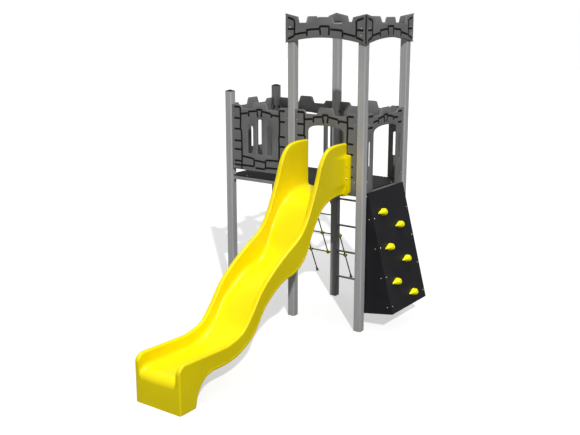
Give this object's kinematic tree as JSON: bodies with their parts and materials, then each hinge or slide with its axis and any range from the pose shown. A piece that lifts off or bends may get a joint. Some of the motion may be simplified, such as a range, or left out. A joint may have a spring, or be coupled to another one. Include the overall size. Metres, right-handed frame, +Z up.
{
  "type": "play tower slide",
  "caption": "Two-bay castle play tower on square metal posts with a moulded wave slide, climbing wall, rung ladder and rope net.",
  "frame": {"origin": "centre of the middle front post's foot, on the ground", "axes": "+Z up, -Y the way the slide runs out, +X towards the climbing wall, +Y towards the back with the ladder and the net"},
  "size_m": [2.1909, 4.249, 3.3369],
  "materials": {
    "post_metal": "satin, lightly brushed along the post",
    "cap_black": "fine moulded grain",
    "panel_grey": "matt grey board with black engraved lines and lighter cut edges",
    "deck_black": "non-slip grain",
    "beam_metal": "satin",
    "slide_yellow": "moulded, semi-gloss, faint scuffs along the bed",
    "board_charcoal": "fine grain, scuffed edges",
    "hold_yellow": "cast, slightly worn",
    "rung_metal": "dark powder coat, worn on top",
    "rope_black": "braided",
    "clamp_yellow": "moulded",
    "fastener_steel": "zinc plated"
  },
  "bodies": {
    "root": {"post_front_left": "post_metal", "post_front_middle": "post_metal", "post_front_right": "post_metal", "post_back_left": "post_metal", "post_back_middle": "post_metal", "post_back_right": "post_metal", "post_caps": "cap_black", "post_feet": "fastener_steel", "crown_front": "panel_grey", "crown_right": "panel_grey", "crown_back": "panel_grey", "crown_left": "panel_grey", "crown_bolts": "fastener_steel", "window_panel_front": "panel_grey", "window_panel_end": "panel_grey", "slide_doorway": "panel_grey", "wall_doorway": "panel_grey", "ladder_doorway": "panel_grey", "net_doorway": "panel_grey", "panel_brackets": "fastener_steel", "panel_bolts": "fastener_steel", "deck_left": "deck_black", "deck_right": "deck_black", "deck_beams_front": "beam_metal", "deck_beams_back": "beam_metal", "deck_beams_cross": "beam_metal", "beam_brackets": "fastener_steel", "deck_screws": "fastener_steel", "slide_chute": "slide_yellow", "slide_bolts": "fastener_steel", "slide_foot_anchor": "fastener_steel", "climbing_board": "board_charcoal", "climbing_side_near": "board_charcoal", "climbing_side_far": "board_charcoal", "board_brackets": "fastener_steel", "board_bolts": "fastener_steel", "side_spacers": "cap_black", "side_bolts": "fastener_steel", "hold_1": "hold_yellow", "hold_2": "hold_yellow", "hold_3": "hold_yellow", "hold_4": "hold_yellow", "hold_5": "hold_yellow", "hold_6": "hold_yellow", "hold_bolts": "fastener_steel", "rung_1": "rung_metal", "rung_2": "rung_metal", "rung_3": "rung_metal", "rung_4": "rung_metal", "rung_collars": "cap_black", "net_rope_left": "rope_black", "net_rope_middle": "rope_black", "net_rope_right": "rope_black", "net_cross_ropes": "rope_black", "net_clamps": "clamp_yellow", "net_top_eyes": "fastener_steel", "net_eye_bolts": "fastener_steel", "net_ground_anchors": "fastener_steel"}
  },
  "joints": []
}
